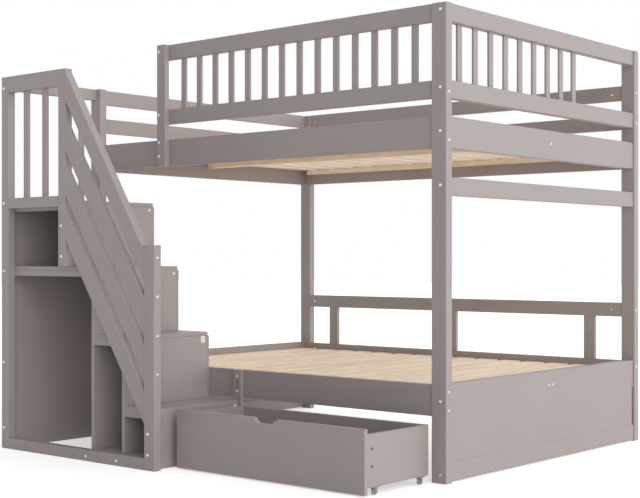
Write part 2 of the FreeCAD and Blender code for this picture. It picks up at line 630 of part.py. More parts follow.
for index, (left, right, top) in enumerate(CLEATS, start=1):
    members.append(board("tread_cleat_%d" % index,
                         (left, "frame_back", top + " - panel_thick - cleat_high"),
                         ("%s - (%s)" % (right, left), "cleat_deep", "cleat_high")))
group("tread_cleats", members)
members = [
    board("tall_cubby_floor", (NEAR % "riser_three", "frame_back", "cubby_floor_top - panel_thick"),
          ("riser_two - riser_three - panel_thick", LANDING_LONG, "panel_thick")),
    board("small_cubby_floor", (NEAR % "riser_two", "frame_back", "cubby_floor_top - panel_thick"),
          ("riser_one - riser_two - panel_thick", "leg_front - frame_back", "panel_thick")),
]
group("cubby_floor_boards", members)
BACKS = (
    (INNER_X, NEAR % "riser_four", STEP_FOUR + " - panel_thick", "front_face"),
    (NEAR % "riser_four", NEAR % "riser_three", STEP_THREE + " - panel_thick", "front_face"),
    (NEAR % "riser_three", NEAR % "riser_two", "first_step + step_rise - panel_thick",
     "front_face"),
    (NEAR % "riser_two", "left_face + leg_from", "first_step", "leg_front"),
)
members = []
for index, (left, right, high, y) in enumerate(BACKS, start=1):
    members.append(board("cubby_back_%d" % index, (left, y, "0"),
                         ("%s - (%s)" % (right, left), "back_panel_thick", high), eased=False))
group("cubby_back_panels", members)

# ---------------------------------------------------------------- drawer
SIDE_Y = "drawer_face + panel_thick"
SIDE_LONG = "drawer_deep - panel_thick"
drawer_left = board("drawer_left_side", ("drawer_left", SIDE_Y, "drawer_side_base"),
                    ("panel_thick", SIDE_LONG, "drawer_side_high"))
drawer_right = board("drawer_right_side",
                     ("drawer_right - panel_thick", SIDE_Y, "drawer_side_base"),
                     ("panel_thick", SIDE_LONG, "drawer_side_high"))
drawer_back = board("drawer_back_board",
                    ("drawer_left + panel_thick", "drawer_end - panel_thick", "drawer_side_base"),
                    ("drawer_wide - 2 * panel_thick", "panel_thick", "drawer_side_high"))
MIDDLE = "drawer_wide / 2"
TOP = "drawer_front_high"
keep("drawer_front", outlined("drawer_front", [
    ("0", "0"),
    ("drawer_wide", "0"),
    ("drawer_wide", TOP),
    (MIDDLE + " + notch_top / 2", TOP),
    (MIDDLE + " + notch_bottom / 2", TOP + " - notch_deep"),
    (MIDDLE + " - notch_bottom / 2", TOP + " - notch_deep"),
    (MIDDLE + " - notch_top / 2", TOP),
    ("0", TOP),
], "panel_thick", ("drawer_left", "drawer_face", "drawer_front_base")))
group("drawer_sides", [drawer_left, drawer_right])
keep("drawer_back", drawer_back)
node_board("drawer_floor", ("drawer_left + panel_thick", SIDE_Y, "drawer_floor_base"),
           ("drawer_wide - 2 * panel_thick", "drawer_deep - 2 * panel_thick", "drawer_floor_thick"),
           eased=False)


def wheel_bracket(label, x, y):
    """Plate under the drawer side, two cheeks and the pin that the wheel turns on."""
    out = "(wheel_wide / 2 + bracket_gap + bracket_cheek)"
    plate = doc.addObject("Part::Box", label + "_plate")
    bind(plate, Length="2 * " + out, Width="bracket_long", Height="bracket_plate")
    place(plate, ("%s - %s" % (x, out), "%s - bracket_long / 2" % y,
                  "drawer_side_base - bracket_plate"))
    parts = [plate]
    for side, start in (("near", "-" + out), ("far", "+ wheel_wide / 2 + bracket_gap")):
        cheek = doc.addObject("Part::Box", "%s_%s_cheek" % (label, side))
        bind(cheek, Length="bracket_cheek", Width="cheek_long",
             Height="drawer_side_base - bracket_plate - cheek_base")
        place(cheek, ("%s %s" % (x, start), "%s - cheek_long / 2" % y, "cheek_base"))
        parts.append(cheek)
    pin = doc.addObject("Part::Cylinder", label + "_pin")
    bind(pin, Radius="pin_radius", Height="2 * " + out)
    place(pin, ("%s - %s" % (x, out), y, "wheel_radius"), "+X")
    whole = doc.addObject("Part::MultiFuse", label)
    whole.Shapes = parts + [pin]
    return whole


def wheel(label, x, y):
    """A wheel turned round the X axis, its tread edges rounded and its bore clear of the pin."""
    body = doc.addObject("PartDesign::Body", label)
    sketch = body.newObject("Sketcher::SketchObject", label + "_section")
    plane = [item for item in body.Origin.OriginFeatures if item.Role == "XZ_Plane"][0]
    sketch.AttachmentSupport = [(plane, "")]
    sketch.MapMode = "FlatFace"
    links = [("-wheel_wide / 2", "pin_radius + pin_play"), ("wheel_wide / 2", None),
             (None, "wheel_radius"), (None, None)]
    half, bore, rim = [worked_out(text) for text in
                       ("wheel_wide / 2", "pin_radius + pin_play", "wheel_radius")]
    points = [FreeCAD.Vector(across, up, 0)
              for across, up in ((-half, bore), (half, bore), (half, rim), (-half, rim))]
    for index in range(4):
        sketch.addGeometry(Part.LineSegment(points[index], points[(index + 1) % 4]), False)
    for index in range(4):
        sketch.addConstraint(Sketcher.Constraint("Coincident", index, 2, (index + 1) % 4, 1))
    for index, kind in enumerate(("Horizontal", "Vertical", "Horizontal", "Vertical")):
        sketch.addConstraint(Sketcher.Constraint(kind, index))
    for index, (across, up) in enumerate(links):
        for kind, text, start in (("DistanceX", across, points[index].x),
                                  ("DistanceY", up, points[index].y)):
            if text is None:
                continue
            number = sketch.addConstraint(Sketcher.Constraint(kind, -1, 1, index, 1, start))
            sketch.setExpression("Constraints[%d]" % number, over_sheet(text))
    turned = body.newObject("PartDesign::Revolution", label + "_turned")
    turned.Profile = sketch
    turned.ReferenceAxis = (sketch, ["H_Axis"])
    turned.Angle = 360
    place(body, (x, y, "wheel_radius"))
    rims.append((body, turned))
    return body


rims = []
brackets = []
for side, x in (("left", "drawer_left + panel_thick / 2"),
                ("right", "drawer_right - panel_thick / 2")):
    for end, y in (("front", "drawer_face + wheel_front"), ("back", "drawer_face + wheel_back")):
        brackets.append(wheel_bracket("bracket_%s_%s" % (end, side), x, y))
        keep("drawer_wheel_%s_%s" % (end, side), wheel("drawer_wheel_%s_%s" % (end, side), x, y))
group("wheel_brackets", brackets)

# ---------------------------------------------------------------- bolts, nuts and caps
bores = []
bolts = []
nuts = []
caps = []
STEP = {"+X": ("+", 0), "-X": ("-", 0), "+Y": ("+", 1), "-Y": ("-", 1)}
BACKWARD = {"+": "-", "-": "+"}


def along(at, axis, distance):
    """The point a distance from another, along an axis."""
    sign, place_index = STEP[axis]
    moved = list(at)
    moved[place_index] = "%s %s (%s)" % (moved[place_index], sign, distance)
    return tuple(moved)


def bolt(at, axis, length):
    """A bolt whose head sits on the wood at a point, its shank along an axis."""
    name = "bolt_%02d" % (len(bolts) + 1)
    head = doc.addObject("Part::Cylinder", name + "_head")
    bind(head, Radius="head_radius", Height="head_high")
    place(head, along(at, axis, "-head_high"), axis)
    shank = doc.addObject("Part::Cylinder", name + "_shank")
    bind(shank, Radius="shank_radius", Height=length)
    place(shank, at, axis)
    socket = doc.addObject("Part::Prism", name + "_socket")
    socket.Polygon = 6
    bind(socket, Circumradius="socket_radius", Height="socket_deep")
    place(socket, along(at, axis, "-head_high"), axis)
    fused = doc.addObject("Part::Fuse", name + "_blank")
    fused.Base = head
    fused.Tool = shank
    whole = doc.addObject("Part::Cut", name)
    whole.Base = fused
    whole.Tool = socket
    bolts.append(whole)
    bores.append({"tool": shank, "at": at, "axis": axis, "radius": "shank_radius + bore_play",
                  "length": length})


def nut(at, axis, length):
    """A barrel nut let into a rail from its inner face."""
    barrel = doc.addObject("Part::Cylinder", "nut_%02d" % (len(nuts) + 1))
    bind(barrel, Radius="nut_radius", Height=length)
    place(barrel, at, axis)
    nuts.append(barrel)
    bores.append({"tool": barrel, "at": at, "axis": axis, "radius": "nut_radius + bore_play",
                  "length": length})


def cap(at, radius):
    """A round cap over a screw, on a face that looks to +X."""
    disc = doc.addObject("Part::Cylinder", "cap_%02d" % (len(caps) + 1))
    bind(disc, Radius=radius, Height="cap_high")
    place(disc, at, "+X")
    caps.append(disc)


FRONT_MID = "front_rail_face + rail_thick / 2"
BACK_MID = "back_rail_face + rail_thick / 2"
BACKREST_MID = BACKREST_Y + " + backrest_thick / 2"
# where each row of bolts runs, which face of the rail its nuts are let into, and how deep they go
FRONT_ROW = (FRONT_MID, "front_rail_face + rail_thick", "-Y", "rail_thick - nut_blind")
BACK_ROW = (BACK_MID, "back_rail_face", "+Y", "rail_thick - nut_blind")
BACKREST_ROW = (BACKREST_MID, BACKREST_Y, "+Y", "backrest_thick - nut_blind")
SIDE_BOLTS = (
    ("right", FRONT_ROW, "bolt_grip", ("bolt_guard", "bolt_upper", "bolt_lower_a", "bolt_lower_b")),
    ("left", FRONT_ROW, "bolt_grip", ("bolt_upper", "bolt_lower_a", "bolt_lower_b")),
    ("right", BACK_ROW, "back_grip_right",
     ("bolt_back_top", "bolt_back_guard", "bolt_lower_a")),
    ("left", BACK_ROW, "back_grip_left",
     ("bolt_back_top", "bolt_back_guard", "bolt_lower_a")),
    ("right", BACKREST_ROW, "back_grip_right", ("bolt_backrest",)),
    ("left", BACKREST_ROW, "back_grip_left", ("bolt_backrest",)),
)
for side, (y, nut_face, nut_axis, nut_long), grip, heights in SIDE_BOLTS:
    x = "%s_face" % side
    axis = "-X" if side == "right" else "+X"
    for height in heights:
        bolt((x, y, height), axis, "post_wide + " + grip)
        middle = along((x, y, height), axis, "post_wide + %s + nut_radius" % grip)
        nut((middle[0], nut_face, height), nut_axis, nut_long)

RIGHT_HEIGHTS = ("end_bolt_top", "end_bolt_guard", "end_bolt_upper", "end_bolt_brace",
                 "end_bolt_lower", "end_bolt_base")
LEFT_HEIGHTS = ("end_bolt_left", "end_bolt_left_guard", "end_bolt_upper", "end_bolt_lower",
                "end_bolt_base")
FRONT_END = ("front_face", "+Y")
BACK_END = ("back_face", "-Y")
RIGHT_RAILS = ("right_rail_face + end_rail_thick / 2", "right_rail_face", "+X",
               "end_rail_thick - nut_blind")
LEFT_RAILS = ("left_face + left_rail_thick / 2", "left_rail_inner", "-X",
              "left_rail_thick - nut_blind")
# no bolt heads show on the front left post, so its end rails have none there
END_BOLTS = (
    (RIGHT_RAILS, FRONT_END, RIGHT_HEIGHTS),
    (RIGHT_RAILS, BACK_END, RIGHT_HEIGHTS),
    (LEFT_RAILS, BACK_END, LEFT_HEIGHTS),
)
for (x, nut_face, nut_axis, nut_long), (y, axis), heights in END_BOLTS:
    for height in heights:
        bolt((x, y, height), axis, "post_deep + bolt_grip")
        middle = along((x, y, height), axis, "post_deep + bolt_grip + nut_radius")
        nut((nut_face, middle[1], height), nut_axis, nut_long)

for height in ("entry_bolt_a", "entry_bolt_b", "entry_bolt_c", "entry_bolt_d"):
    bolt((ENTRY_X + " + entry_bolt_in", ENTRY_Y, height), "+Y",
         "entry_post_deep + rail_thick - nut_blind")
for height in ("leg_bolt_a", "leg_bolt_b"):
    bolt(("left_face + leg_from + leg_wide / 2", "leg_front", height), "+Y",
         "leg_deep + rail_thick - nut_blind")
bed_bolts = list(bolts)
FRAME_BOLTS = (
    ("side_panel_mid", ("frame_bolt_a", "frame_bolt_b", "frame_bolt_c", "frame_bolt_d",
                        "frame_bolt_e")),
    ("riser_four", ("middle_bolt_a", "middle_bolt_b")),
    ("riser_three", ("bottom_bolt",)),
    ("riser_two", ("bottom_bolt",)),
    ("riser_one", ("right_bolt_a", "right_bolt_b")),
)
for middle, heights in FRAME_BOLTS:
    for height in heights:
        bolt(("left_face + " + middle, "stair_face", height), "+Y", "frame_bolt_long")
for height in ("post_screw_a", "post_screw_b", "post_screw_c", "post_screw_d"):
    bolt(("right_post_left + right_post_wide", "stair_face + frame_thick / 2", height), "-X",
         "post_screw_long")
group("bed_bolts", bed_bolts)
group("stair_bolts", bolts[len(bed_bolts):])
group("barrel_nuts", nuts)

cap((NEAR % "riser_one", "leg_front - first_cap_in", "first_step - panel_thick - first_cap_low"),
    "cap_radius")
for middle, top in (("riser_three", STEP_THREE), ("riser_four", STEP_FOUR)):
    cap((NEAR % middle, "front_face - cap_in", top + " - panel_thick - cap_low"), "cap_radius")
cover = doc.addObject("Part::Box", "second_riser_cover")
bind(cover, Length="cap_high", Width="cover_deep", Height="cover_high")
place(cover, (NEAR % "riser_two", "front_face - cover_in - cover_deep",
              "first_step + step_rise - panel_thick - cover_low - cover_high"))
caps.append(cover)
END_FACE = "right_rail_face + end_rail_thick"
BED_MID = "(front_face + back_face) / 2"
BEAM_MID = " + side_rail_high - ledger_drop - ledger_high / 2"
cap((END_FACE, BED_MID, "upper_rail_base" + BEAM_MID), "end_cap_radius")
for sign in ("-", "+"):
    cap((END_FACE, "%s %s beam_screw_apart / 2" % (BED_MID, sign), "lower_rail_base" + BEAM_MID),
        "end_cap_radius")
group("screw_caps", caps)

doc.recompute()


def bored(item, name, at, axis, radius, length):
    """Cut one bore in a piece, given where it starts on the bed."""
    tool = item["body"].newObject("PartDesign::SubtractiveCylinder", name)
    bind(tool, Radius=radius, Height=length)
    place(tool, ["(%s) - (%s)" % pair for pair in zip(at, item["at"])], axis)


# the long edges are eased, and every piece a bolt or nut runs into is bored for it
for item in boards:
    body = item["body"]
    shape = item["blank"].Shape
    if item["eased"]:
        longest = max(edge.Length for edge in shape.Edges)
        floor = shape.BoundBox.ZMin if item["flush_below"] else -longest
        chosen = ["Edge%d" % (index + 1) for index, edge in enumerate(shape.Edges)
                  if (item["ends"] or edge.Length > longest - 1)
                  and edge.BoundBox.ZMax > floor + 1]
        eased = body.newObject("PartDesign::Fillet", body.Name + "_eased")
        eased.Base = (item["blank"], chosen)
        bind(eased, Radius="ease")
for item in boards:
    body = item["body"]
    count = 0
    for bore in bores:
        tool = bore["tool"].Shape
        if not body.Shape.BoundBox.intersect(tool.BoundBox):
            continue
        if body.Shape.common(tool).Volume < 1:
            continue
        count += 1
        bored(item, "%s_bore_%02d" % (body.Name, count), bore["at"], bore["axis"], bore["radius"],
              bore["length"])
    if body is leg:
        slot = body.newObject("PartDesign::SubtractiveBox", "front_support_leg_slot")
        bind(slot, Length="slot_wide", Width="leg_deep", Height="slot_high")
        place(slot, ("(leg_wide - slot_wide) / 2", "0", "slot_base"))
    for panel, x, axis in ((drawer_right, "drawer_right", "-X"), (drawer_left, "drawer_left", "+X")):
        if body is not panel:
            continue
        for height in ("side_hole_low", "side_hole_high"):
            bored(item, "%s_%s" % (body.Name, height),
                  (x, "drawer_face + side_hole_back", height), axis, "side_hole_radius",
                  "side_hole_deep")
for body, turned in rims:
    outer = ["Edge%d" % (index + 1) for index, edge in enumerate(turned.Shape.Edges)
             if edge.Closed and edge.Curve.Radius > 2 * float(dims.get("pin_radius"))]
    rounded = body.newObject("PartDesign::Fillet", body.Name + "_rim")
    rounded.Base = (turned, outer)
    bind(rounded, Radius="wheel_round")
doc.recompute()

for thing in doc.Objects:
    if "Invalid" in thing.State or "Error" in thing.State:
        raise SystemExit("%s does not compute: %s" % (thing.Label, thing.State))
os.makedirs("parts", exist_ok=True)
for label, thing in nodes:
    if thing.Shape.isNull() or not thing.Shape.isValid():
        raise SystemExit("%s has no valid shape" % label)
    thing.Shape.exportStep("parts/%s.step" % label)
    print("%-26s %2d solids" % (label, len(thing.Shape.Solids)))
print(len(nodes), "nodes,", sum(len(thing.Shape.Solids) for label, thing in nodes), "solids")
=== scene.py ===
"""Dresses the bunk bed with storage stairs: paint, bare pine, bright bolts and drawer wheels."""

import math

import bmesh
import bpy
from bpy.props import FloatProperty, IntProperty, PointerProperty, StringProperty
from mathutils import Matrix, Vector


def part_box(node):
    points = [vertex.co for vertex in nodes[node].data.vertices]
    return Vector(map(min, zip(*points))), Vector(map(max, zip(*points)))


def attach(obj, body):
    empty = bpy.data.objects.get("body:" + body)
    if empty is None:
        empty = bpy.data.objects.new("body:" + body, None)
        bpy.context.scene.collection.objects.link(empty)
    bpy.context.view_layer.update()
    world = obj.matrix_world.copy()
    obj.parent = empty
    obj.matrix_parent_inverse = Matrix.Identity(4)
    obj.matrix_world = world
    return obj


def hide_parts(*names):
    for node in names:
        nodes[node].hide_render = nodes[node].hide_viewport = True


bl_info = {
    "name": "Bunk bed with storage stairs",
    "version": (1, 0, 0),
    "blender": (4, 5, 0),
    "location": "View3D > Sidebar > Bunk bed",
    "description": "Finishes the timber, slats, fasteners and drawer wheels of a bunk bed",
    "category": "Object",
}

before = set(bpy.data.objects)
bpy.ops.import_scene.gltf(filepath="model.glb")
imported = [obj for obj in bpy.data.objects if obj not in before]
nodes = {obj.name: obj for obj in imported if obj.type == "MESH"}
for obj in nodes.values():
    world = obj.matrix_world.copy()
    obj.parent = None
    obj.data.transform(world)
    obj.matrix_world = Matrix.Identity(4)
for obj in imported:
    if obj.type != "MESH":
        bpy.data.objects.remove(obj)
MM = 0.001
WHITE = "#FFFFFF"
X, Y, Z = range(3)

# timber: how rough the noise of its grain is, and the part of it that is used
GRAIN_ROUGHNESS = 0.55
GRAIN_RANGE = (0.3, 0.7)
# paint: how much of the tone is cloud and how much is streak, and where the tones change
PAINT_CLOUDS_PER_METRE = 5.0
PAINT_CLOUD_SHARE = 0.30
PAINT_STREAK_SHARE = 0.70
PAINT_STOPS = (0.34, 0.50, 0.66)
PAINT_ROUGH = (0.40, 0.52)
PAINT_IOR = 1.48
PAINT_RELIEF = (0.05, 0.4 * MM)
# bare pine: bands that wander, growth rings and knots, in millimetres across and along
WANDER = (60, 600)
RING_LONG = 260
WANDER_SHARE = 0.4
RING_SHARE = 0.6
PINE_STOPS = (0.36, 0.47, 0.62)
PINE_ROUGH = 0.62
PINE_RELIEF = (0.3, 0.3 * MM)
KNOT_SPACING = (110, 300)
KNOT_EDGE = (0.04, 0.09)
KNOT_DEPTH = 0.55
# zinc and moulded surfaces
ZINC_CLOUD = 6 * MM
ZINC_ROUGH = (0.24, 0.42)
SHADE_STOPS = (0.35, 0.65)
MOULDED_RELIEF = (0.2, 0.2 * MM)
# the slanted handrail measured plumb
HANDRAIL_PLUMB = 118 * MM
# faces that meet at more than this stay sharp
SHARP = math.radians(32)
MERGE = 1e-6

# wheel: its bore and hub, the ring groove's outer wall below the rim, the edges of its shoulder as
# (in from the side face, in from the rim), and the rounding of its tread
WHEEL_BORE = 2.55 * MM
WHEEL_HUB = 5.0 * MM
HUB_SLOPE = 0.6 * MM
GROOVE_RIM = 3.2 * MM
SHOULDER = (0.5 * MM, 2.4 * MM)
CORNER = (0.7 * MM, 1.0 * MM)
TREAD_ROUND = 2.0 * MM
# bolt: its shank with a chamfered tip, the chamfer under its head, and the head's domed edge as
# (share of the head's height, how far in from its rim)
SHANK = 3 * MM
SHANK_TIP = 2.4 * MM
SHANK_CHAMFER = 0.8 * MM
HEAD_UNDER = 0.2 * MM
HEAD_DOME = ((0.3, 0.0), (0.75, 0.5 * MM), (1.0, 1.6 * MM))
# corners this far out, as a share of a bolt's widest part, belong to its head
HEAD_SHARE = 0.8
# screw covers: one narrower than this many of its half heights is rectangular, with a soft edge
# that is a share of its thickness; the others are domes, as (thickness, radius) shares
ROUND_COVER = 1.9
COVER_EDGE = 0.6
COVER_DOME = ((0.0, 0.0), (0.0, 1.0), (0.35, 1.0), (0.8, 0.75), (1.0, 0.35), (1.0, 0.0))

# floor and light: the floor's colour, its own glow towards the camera, and the strength of the
# light from the room's darker front side and its lighter wall side
FLOOR = "#F8F8F7"
FLOOR_GLOW = 0.48
ROOM_DARK = 0.04
ROOM_LIGHT = 1.30
# a broad window to the right, and the light that a pale room throws back up from low down:
# name, strength, spread in degrees, where it comes from
LAMPS = (("window side", 1.4, 60, (0.84, -0.40, 0.36)),
         ("low bounce", 1.1, 90, (0.75, 0.45, -0.45)))
# the photograph's camera, as solved from the bed's straight edges
EYE = (3.7018, -4.1916, 0.8119)
EYE_PITCH = math.radians(90)
EYE_TURN = math.radians(39.345)
SENSOR = 36.0
LENS = 72.0
LENS_SHIFT = (-0.0828, 0.0137)
FAR = 200.0

# which way the timber of each node runs
UPRIGHT = ("front_right_post", "back_right_post", "front_left_post", "back_left_post",
           "guard_entry_post", "front_support_leg", "backrest_stiles", "front_guard_balusters",
           "right_guard_balusters")
LENGTHWAYS = ("upper_front_side_rail", "upper_back_side_rail", "lower_front_side_rail",
              "lower_back_side_rail", "front_guard_rails", "back_guard_rails", "backrest_rail")
CROSSWAYS = ("upper_right_end_rail", "lower_right_end_rail", "right_end_brace_rail",
             "right_guard_rails", "end_baseboards", "end_panels", "upper_left_end_rail",
             "lower_left_end_rail", "left_guard_rails")
STAIR_UPRIGHT = ("stair_left_post", "stair_middle_post", "stair_right_post",
                 "stair_guard_balusters", "landing_side_balusters")
STAIR_LENGTHWAYS = ("stair_bottom_rail", "stair_guard_rails", "tread_cleats")
STAIR_CROSSWAYS = ("landing_side_rails", "stair_treads", "third_tread_shelf", "landing_board",
                   "cubby_floor_boards")
STAIR_PANELS = ("stair_side_panel", "riser_panels", "cubby_back_panels")
SLANTED = ("stair_handrail", "slanted_guard_boards")
WHEELS = {
    "drawer_wheel_front_left": "wheel_front_left",
    "drawer_wheel_back_left": "wheel_back_left",
    "drawer_wheel_front_right": "wheel_front_right",
    "drawer_wheel_back_right": "wheel_back_right",
}


def linear(code):
    """An sRGB hex colour as linear red, green, blue and alpha."""
    parts = [int(code.lstrip("#")[place:place + 2], 16) / 255 for place in (0, 2, 4)]
    return [part / 12.92 if part <= 0.04045 else ((part + 0.055) / 1.055) ** 2.4
            for part in parts] + [1.0]


def add(tree, kind, settings=None, **inputs):
    """Adds a node: settings are its own values, inputs are values or sockets to link."""
    made = tree.nodes.new(kind)
    for name, value in (settings or {}).items():
        setattr(made, name, value)
    for name, value in inputs.items():
        socket = made.inputs[int(name[1:])] if name[1:].isdigit() else made.inputs[
            name.replace("_", " ")]
        if isinstance(value, bpy.types.NodeSocket):
            tree.links.new(value, socket)
        else:
            socket.default_value = value
    return made


def blank_material(name):
    """A new material with its shader and output, and the object's own coordinates."""
    material = bpy.data.materials.new(name)
    material.use_nodes = True
    tree = material.node_tree
    tree.nodes.clear()
    shader = add(tree, "ShaderNodeBsdfPrincipled")
    output = add(tree, "ShaderNodeOutputMaterial")
    tree.links.new(shader.outputs["BSDF"], output.inputs["Surface"])
    place = add(tree, "ShaderNodeTexCoord").outputs["Object"]
    return material, tree, shader, place


def ramp(tree, factor, *stops):
    """A colour ramp over a factor; each stop is (position, hex colour)."""
    made = add(tree, "ShaderNodeValToRGB", Fac=factor)
    band = made.color_ramp
    while len(band.elements) < len(stops):
        band.elements.new(0.5)
    for element, (position, code) in zip(band.elements, stops):
        element.position = position
        element.color = linear(code)
    return made.outputs["Color"]


def stretched(tree, place, lean, turn, width, length, detail):
    """Noise drawn out along the timber: streaks of a real width and length in millimetres."""
    scale = [1 / (width * MM)] * 3
    scale[lean] = 1 / (length * MM)
    upright = add(tree, "ShaderNodeMapping", {"vector_type": "POINT"}, Vector=place,
                  Rotation=(0, turn, 0))
    drawn = add(tree, "ShaderNodeMapping", {"vector_type": "POINT"},
                Vector=upright.outputs["Vector"], Scale=scale)
    return add(tree, "ShaderNodeTexNoise", Vector=drawn.outputs["Vector"], Scale=1.0,
               Detail=detail, Roughness=GRAIN_ROUGHNESS).outputs["Fac"]


def blended(tree, first, first_share, second, second_share):
    """Two textures added up by their shares."""
    part = add(tree, "ShaderNodeMath", {"operation": "MULTIPLY"}, _0=second, _1=second_share)
    return add(tree, "ShaderNodeMath", {"operation": "MULTIPLY_ADD"}, _0=first, _1=first_share,
               _2=part.outputs[0]).outputs[0]


def relieved(tree, shader, height, relief):
    """Gives a shader the bumps of a texture; relief is (strength, height in metres)."""
    strength, distance = relief
    bump = add(tree, "ShaderNodeBump", Strength=strength, Distance=distance, Height=height)
    tree.links.new(bump.outputs["Normal"], shader.inputs["Normal"])


def painted_pine(name, lean, turn=0.0):
    """Satin furniture paint, rolled on planed pine: the grain telegraphs as soft streaks."""
    look = bpy.context.scene.bunk_finish
    material, tree, shader, place = blank_material(name)
    streaks = stretched(tree, place, lean, turn, look.streak_width, look.streak_length, 4.0)
    clouds = add(tree, "ShaderNodeTexNoise", Vector=place, Scale=PAINT_CLOUDS_PER_METRE,
                 Detail=2.0).outputs["Fac"]
    tone = blended(tree, clouds, PAINT_CLOUD_SHARE, streaks, PAINT_STREAK_SHARE)
    colour = ramp(tree, tone, *zip(PAINT_STOPS, (look.paint_dark, look.paint, look.paint_light)))
    tree.links.new(colour, shader.inputs["Base Color"])
    # paint film sinks a little over the soft early wood
    rough = add(tree, "ShaderNodeMapRange", Value=streaks, From_Min=GRAIN_RANGE[0],
                From_Max=GRAIN_RANGE[1], To_Min=PAINT_ROUGH[0],
                To_Max=PAINT_ROUGH[1]).outputs["Result"]
    tree.links.new(rough, shader.inputs["Roughness"])
    fine = stretched(tree, place, lean, turn, look.pore_width, look.pore_length, 3.0)
    relieved(tree, shader, fine, PAINT_RELIEF)
    shader.inputs["IOR"].default_value = PAINT_IOR
    return material


def bare_pine(name, lean):
    """Planed pine without finish: cream early wood, darker late-wood lines, a few knots."""
    look = bpy.context.scene.bunk_finish
    material, tree, shader, place = blank_material(name)
    wander = stretched(tree, place, lean, 0.0, *WANDER, 2.0)
    rings = stretched(tree, place, lean, 0.0, look.ring_width, RING_LONG, 3.0)
    tone = blended(tree, wander, WANDER_SHARE, rings, RING_SHARE)
    wood = ramp(tree, tone, *zip(PINE_STOPS, (look.pine_late, look.pine, look.pine_early)))
    # knots: small spots drawn out along the grain, some 300 mm apart along a slat
    across, along = KNOT_SPACING
    spread = [1 / (across * MM)] * 3
    spread[lean] = 1 / (along * MM)
    spaced = add(tree, "ShaderNodeMapping", Vector=place, Scale=spread).outputs["Vector"]
    knots = add(tree, "ShaderNodeTexVoronoi", {"feature": "F1"}, Vector=spaced,
                Scale=1.0).outputs["Distance"]
    spot = add(tree, "ShaderNodeMapRange", Value=knots, From_Min=KNOT_EDGE[0],
               From_Max=KNOT_EDGE[1], To_Min=KNOT_DEPTH, To_Max=0.0).outputs["Result"]
    whole = add(tree, "ShaderNodeMix", {"data_type": "RGBA"}, _0=spot, _6=wood,
                _7=linear(look.pine_knot)).outputs[2]
    tree.links.new(whole, shader.inputs["Base Color"])
    shader.inputs["Roughness"].default_value = PINE_ROUGH
    relieved(tree, shader, rings, PINE_RELIEF)
    return material


def zinc_plate(name):
    """Bright zinc on pressed steel: pale metal with a faint cloudiness from the bath."""
    look = bpy.context.scene.bunk_finish
    material, tree, shader, place = blank_material(name)
    clouds = add(tree, "ShaderNodeTexNoise", Vector=place, Scale=1 / ZINC_CLOUD,
                 Detail=3.0).outputs["Fac"]
    colour = ramp(tree, clouds, *zip(SHADE_STOPS, (look.zinc_dark, look.zinc)))
    tree.links.new(colour, shader.inputs["Base Color"])
    rough = add(tree, "ShaderNodeMapRange", Value=clouds, To_Min=ZINC_ROUGH[0],
                To_Max=ZINC_ROUGH[1])
    tree.links.new(rough.outputs["Result"], shader.inputs["Roughness"])
    shader.inputs["Metallic"].default_value = 1.0
    return material


def moulded(name, base, shade, roughness, grit):
    """Moulded or sprayed surfaces: even colour with a fine texture of a real grit size."""
    material, tree, shader, place = blank_material(name)
    specks = add(tree, "ShaderNodeTexNoise", Vector=place, Scale=1 / (grit * MM),
                 Detail=2.0).outputs["Fac"]
    colour = ramp(tree, specks, *zip(SHADE_STOPS, (shade, base)))
    tree.links.new(colour, shader.inputs["Base Color"])
    shader.inputs["Roughness"].default_value = roughness
    relieved(tree, shader, specks, MOULDED_RELIEF)
    return material


def dress(names, material):
    """Gives CAD nodes their finish."""
    for name in names:
        mesh = nodes[name].data
        mesh.materials.clear()
        mesh.materials.append(material)


def finished(name, shape, material, body):
    """A bmesh as a finished piece that rides on a body."""
    bmesh.ops.recalc_face_normals(shape, faces=shape.faces)
    mesh = bpy.data.meshes.new(name)
    shape.to_mesh(mesh)
    shape.free()
    mesh.materials.append(material)
    mesh.shade_smooth()
    piece = bpy.data.objects.new(name, mesh)
    bpy.context.scene.collection.objects.link(piece)
    mesh.set_sharp_from_angle(angle=SHARP)
    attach(piece, body)
    return piece


def turned(shape, outline, steps):
    """Spins an outline of (along, radius) points, in metres, once round the X axis."""
    points = [shape.verts.new((along, 0, radius)) for along, radius in outline]
    lines = [shape.edges.new(pair) for pair in zip(points, points[1:])]
    bmesh.ops.spin(shape, geom=points + lines, cent=(0, 0, 0), axis=(1, 0, 0), dvec=(0, 0, 0),
                   angle=math.tau, steps=steps, use_merge=True, use_normal_flip=False,
                   use_duplicate=False)
    bmesh.ops.remove_doubles(shape, verts=shape.verts, dist=MERGE)


def merged(shape, single):
    """Adds one finished solid to a shape, and frees it."""
    bmesh.ops.recalc_face_normals(single, faces=single.faces)
    mesh = bpy.data.meshes.new("single")
    single.to_mesh(mesh)
    single.free()
    shape.from_mesh(mesh)
    bpy.data.meshes.remove(mesh)


def loose_boxes(name):
    """The lowest corner, the highest corner and all vertices of each separate solid in a node."""
    copy = bmesh.new()
    copy.from_mesh(nodes[name].data)
    bmesh.ops.remove_doubles(copy, verts=copy.verts, dist=MERGE)
    waiting = set(copy.verts)
    boxes = []
    while waiting:
        island = {waiting.pop()}
        edge = set(island)
        while edge:
            near = {other for vert in edge for line in vert.link_edges for other in line.verts}
            edge = near - island
            island |= edge
        waiting -= island
        corners = [vert.co for vert in island]
        low = Vector(min(corner[axis] for corner in corners) for axis in range(3))
        high = Vector(max(corner[axis] for corner in corners) for axis in range(3))
        boxes.append((low, high, [corner.copy() for corner in corners]))
    copy.free()
    return boxes


